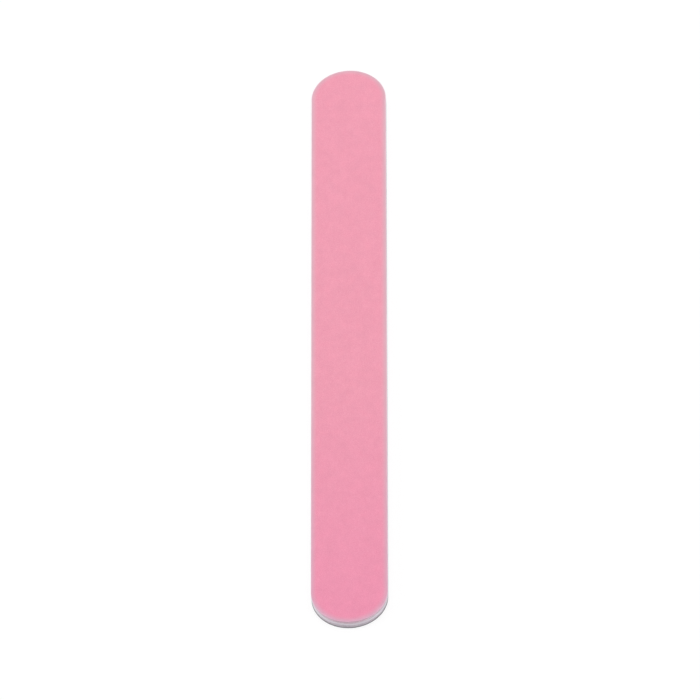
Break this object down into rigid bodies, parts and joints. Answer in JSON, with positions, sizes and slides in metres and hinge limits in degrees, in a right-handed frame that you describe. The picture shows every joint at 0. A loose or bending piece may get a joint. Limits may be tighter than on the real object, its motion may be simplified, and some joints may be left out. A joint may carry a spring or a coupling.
{
  "type": "nail buffer board",
  "caption": "Slim straight nail buffer board with rounded ends: fine pink abrasive on one face, grey abrasive on the other, over foam pads and a plastic core.",
  "frame": {"origin": "middle of the grey face, on which the board lies", "axes": "+Z out of the pink face, +Y along the board, +X across it"},
  "size_m": [0.019, 0.178, 0.003],
  "materials": {
    "pink_grit": "matte",
    "pink_paper": "matte",
    "grey_grit": "matte",
    "grey_paper": "matte",
    "white_foam": "matte",
    "white_plastic": "satin",
    "clear_adhesive": "gloss"
  },
  "bodies": {
    "root": {"grey_grit_coat": "grey_grit", "grey_paper_backing": "grey_paper", "grey_sheet_adhesive": "clear_adhesive", "lower_foam_pad": "white_foam", "lower_core_adhesive": "clear_adhesive", "stiffener_core": "white_plastic", "upper_core_adhesive": "clear_adhesive", "upper_foam_pad": "white_foam", "pink_sheet_adhesive": "clear_adhesive", "pink_paper_backing": "pink_paper", "pink_grit_coat": "pink_grit"}
  },
  "joints": []
}
